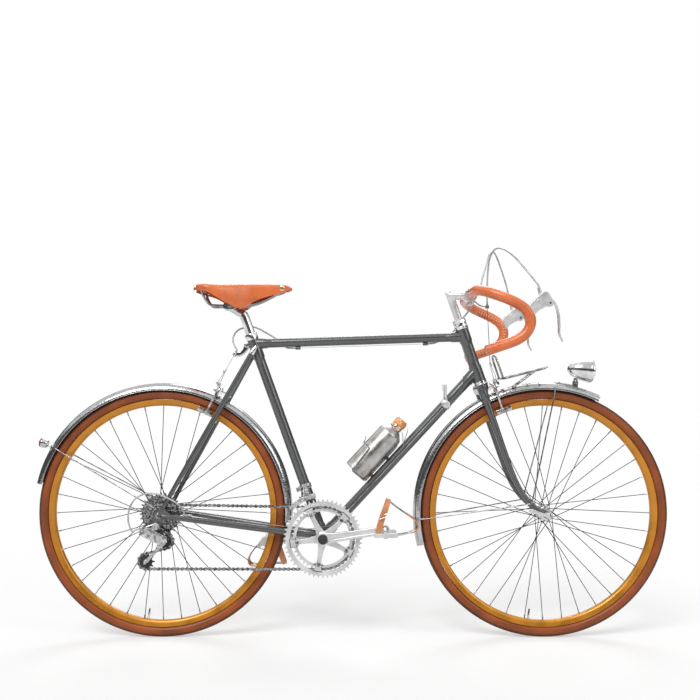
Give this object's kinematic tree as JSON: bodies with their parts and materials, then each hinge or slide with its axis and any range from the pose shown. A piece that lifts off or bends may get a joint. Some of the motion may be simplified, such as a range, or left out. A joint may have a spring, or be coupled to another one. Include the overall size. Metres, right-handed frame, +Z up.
{
  "type": "touring bicycle",
  "caption": "Touring bicycle with drop handlebars, mudguards, gears, toe clips, front rack, headlamp, tail lamp and a bottle on its frame.",
  "frame": {"origin": "on the ground, half way along the bicycle, in its middle plane", "axes": "+X forward, +Y to the rider's left, +Z up"},
  "size_m": [1.7587, 0.4284, 1.0943],
  "materials": {
    "enamel": "dark grey stove enamel",
    "chrome": "polished chrome plate",
    "alloy": "polished alloy",
    "steel": "dull oiled steel",
    "hammered": "bright hammered alloy sheet",
    "rim": "gold-brown anodised",
    "tyre": "brown rubber with a tan side wall",
    "leather": "smooth orange-tan leather",
    "strap": "waxed tan leather",
    "rubber": "black",
    "cable": "pale grey housing",
    "bottle": "satin spun alloy",
    "cap": "orange-brown"
  },
  "bodies": {
    "frame": {"head_tube": "enamel", "top_tube": "enamel", "down_tube": "enamel", "seat_tube": "enamel", "bottom_bracket_shell": "enamel", "chainstays": "enamel", "seatstays": "enamel", "rear_mudguard": "hammered", "rear_lamp": "chrome", "bottle_cage": "steel", "front_derailleur": "chrome", "rear_derailleur": "chrome", "rear_axle": "steel", "rear_brake_cable": "cable", "rear_shift_cable": "cable", "chain": "steel"},
    "steering": {"fork": "enamel", "upper_headset": "chrome", "stem": "alloy", "handlebar": "alloy", "right_bar_cover": "leather", "left_bar_cover": "leather", "right_lever_body": "alloy", "left_lever_body": "alloy", "front_mudguard": "hammered", "front_rack": "chrome", "front_brake_cable": "cable", "rear_brake_housing": "cable", "front_axle": "steel"},
    "front_wheel": {"front_tyre": "tyre", "front_rim": "rim", "front_hub_and_spokes": "alloy"},
    "rear_wheel": {"rear_tyre": "tyre", "rear_rim": "rim", "rear_hub_and_spokes": "alloy"},
    "freewheel": {"freewheel": "steel"},
    "crank": {"right_crank": "alloy", "left_crank": "alloy", "chainrings": "alloy"},
    "right_pedal": {"right_pedal": "alloy", "right_toe_clip": "strap"},
    "left_pedal": {"left_pedal": "alloy", "left_toe_clip": "strap"},
    "upper_jockey": {"upper_jockey": "rubber"},
    "lower_jockey": {"lower_jockey": "rubber"},
    "right_brake_lever": {"right_brake_lever": "alloy"},
    "left_brake_lever": {"left_brake_lever": "alloy"},
    "front_brake_arm_right": {"front_brake_arm_right": "alloy"},
    "front_brake_arm_left": {"front_brake_arm_left": "alloy"},
    "rear_brake_arm_right": {"rear_brake_arm_right": "alloy"},
    "rear_brake_arm_left": {"rear_brake_arm_left": "alloy"},
    "right_shift_lever": {"right_shift_lever": "chrome"},
    "left_shift_lever": {"left_shift_lever": "chrome"},
    "saddle": {"saddle_leather": "leather", "saddle_rails": "chrome", "seatpost": "alloy"},
    "bottle": {"bottle": "bottle", "bottle_cap": "cap"},
    "headlamp": {"headlamp": "chrome"},
    "front_quick_release": {"front_quick_release": "alloy"}
  },
  "joints": [
    {"name": "steering", "type": "hinge", "parent": "frame", "child": "steering", "pos_m": [0.35827, 0, 0.71257], "axis": [-0.3256, 0, 0.9455], "range_deg": [-55, 55], "deforming": ["rear_brake_housing"]},
    {"name": "front_wheel_spin", "type": "hinge", "parent": "steering", "child": "front_wheel", "pos_m": [0.53475, 0, 0.345], "axis": [0, 1, 0], "continuous": true},
    {"name": "freewheel_spin", "type": "hinge", "parent": "frame", "child": "freewheel", "pos_m": [-0.52605, 0, 0.345], "axis": [0, 1, 0], "continuous": true, "deforming": ["chain"]},
    {"name": "rear_wheel_coast", "type": "hinge", "parent": "freewheel", "child": "rear_wheel", "pos_m": [-0.52605, 0, 0.345], "axis": [0, 1, 0], "continuous": true},
    {"name": "crank_spin", "type": "hinge", "parent": "frame", "child": "crank", "pos_m": [-0.07875, 0, 0.28], "axis": [0, 1, 0], "continuous": true},
    {"name": "right_pedal_spin", "type": "hinge", "parent": "crank", "child": "right_pedal", "pos_m": [0.08938, 0, 0.30513], "axis": [0, 1, 0], "continuous": true},
    {"name": "left_pedal_spin", "type": "hinge", "parent": "crank", "child": "left_pedal", "pos_m": [-0.24688, 0, 0.25487], "axis": [0, 1, 0], "continuous": true},
    {"name": "upper_jockey_spin", "type": "hinge", "parent": "frame", "child": "upper_jockey", "pos_m": [-0.50985, -0.054, 0.274], "axis": [0, 1, 0], "continuous": true},
    {"name": "lower_jockey_spin", "type": "hinge", "parent": "frame", "child": "lower_jockey", "pos_m": [-0.56225, -0.054, 0.218], "axis": [0, 1, 0], "continuous": true},
    {"name": "right_brake_squeeze", "type": "hinge", "parent": "steering", "child": "right_brake_lever", "pos_m": [0.5096, -0.198, 0.90837], "axis": [0, 1, 0], "range_deg": [0, 25], "stiffness_Nm_per_rad": 0.8, "springref_deg": -8.59},
    {"name": "left_brake_squeeze", "type": "hinge", "parent": "steering", "child": "left_brake_lever", "pos_m": [0.5096, 0.198, 0.90837], "axis": [0, 1, 0], "range_deg": [0, 25], "stiffness_Nm_per_rad": 0.8, "springref_deg": -8.59},
    {"name": "front_brake_arm_right_turn", "type": "hinge", "parent": "steering", "child": "front_brake_arm_right", "pos_m": [0.39986, -0.031, 0.69622], "axis": [0.9455, 0, 0.3256], "range_deg": [0, 2.25]},
    {"name": "front_brake_arm_left_turn", "type": "hinge", "parent": "steering", "child": "front_brake_arm_left", "pos_m": [0.39986, 0.031, 0.69622], "axis": [0.9455, 0, 0.3256], "range_deg": [-2.25, 0]},
    {"name": "rear_brake_arm_right_turn", "type": "hinge", "parent": "frame", "child": "rear_brake_arm_right", "pos_m": [-0.37412, -0.031, 0.68517], "axis": [0.872, 0, -0.4894], "range_deg": [0, 2.25]},
    {"name": "rear_brake_arm_left_turn", "type": "hinge", "parent": "frame", "child": "rear_brake_arm_left", "pos_m": [-0.37412, 0.031, 0.68517], "axis": [0.872, 0, -0.4894], "range_deg": [-2.25, 0]},
    {"name": "right_shift_lever_turn", "type": "hinge", "parent": "frame", "child": "right_shift_lever", "pos_m": [0.26251, -0.0185, 0.64817], "axis": [0, 1, 0], "range_deg": [-90, 20]},
    {"name": "left_shift_lever_turn", "type": "hinge", "parent": "frame", "child": "left_shift_lever", "pos_m": [0.26251, 0.0185, 0.64817], "axis": [0, 1, 0], "range_deg": [-90, 20]},
    {"name": "saddle_height", "type": "slide", "parent": "frame", "child": "saddle", "axis": [-0.3387, 0, 0.9409], "range_m": [-0.015, 0.06]},
    {"name": "bottle_slide", "type": "slide", "parent": "frame", "child": "bottle", "axis": [0.6798, 0, 0.7334], "range_m": [0, 0.1]},
    {"name": "headlamp_tilt", "type": "hinge", "parent": "steering", "child": "headlamp", "pos_m": [0.62589, 0, 0.70941], "axis": [0, 1, 0], "range_deg": [-15, 8]},
    {"name": "quick_release_turn", "type": "hinge", "parent": "steering", "child": "front_quick_release", "pos_m": [0.53475, -0.0666, 0.345], "axis": [0, 0, 1], "range_deg": [0, 160]}
  ],
  "couplings": [
    {"joint": "crank_spin", "follows": "freewheel_spin", "ratio": 0.33333},
    {"joint": "upper_jockey_spin", "follows": "freewheel_spin", "ratio": -1.4},
    {"joint": "lower_jockey_spin", "follows": "freewheel_spin", "ratio": 1.4},
    {"joint": "front_brake_arm_right_turn", "follows": "right_brake_squeeze", "ratio": 0.09},
    {"joint": "front_brake_arm_left_turn", "follows": "right_brake_squeeze", "ratio": -0.09},
    {"joint": "rear_brake_arm_right_turn", "follows": "left_brake_squeeze", "ratio": 0.09},
    {"joint": "rear_brake_arm_left_turn", "follows": "left_brake_squeeze", "ratio": -0.09}
  ]
}
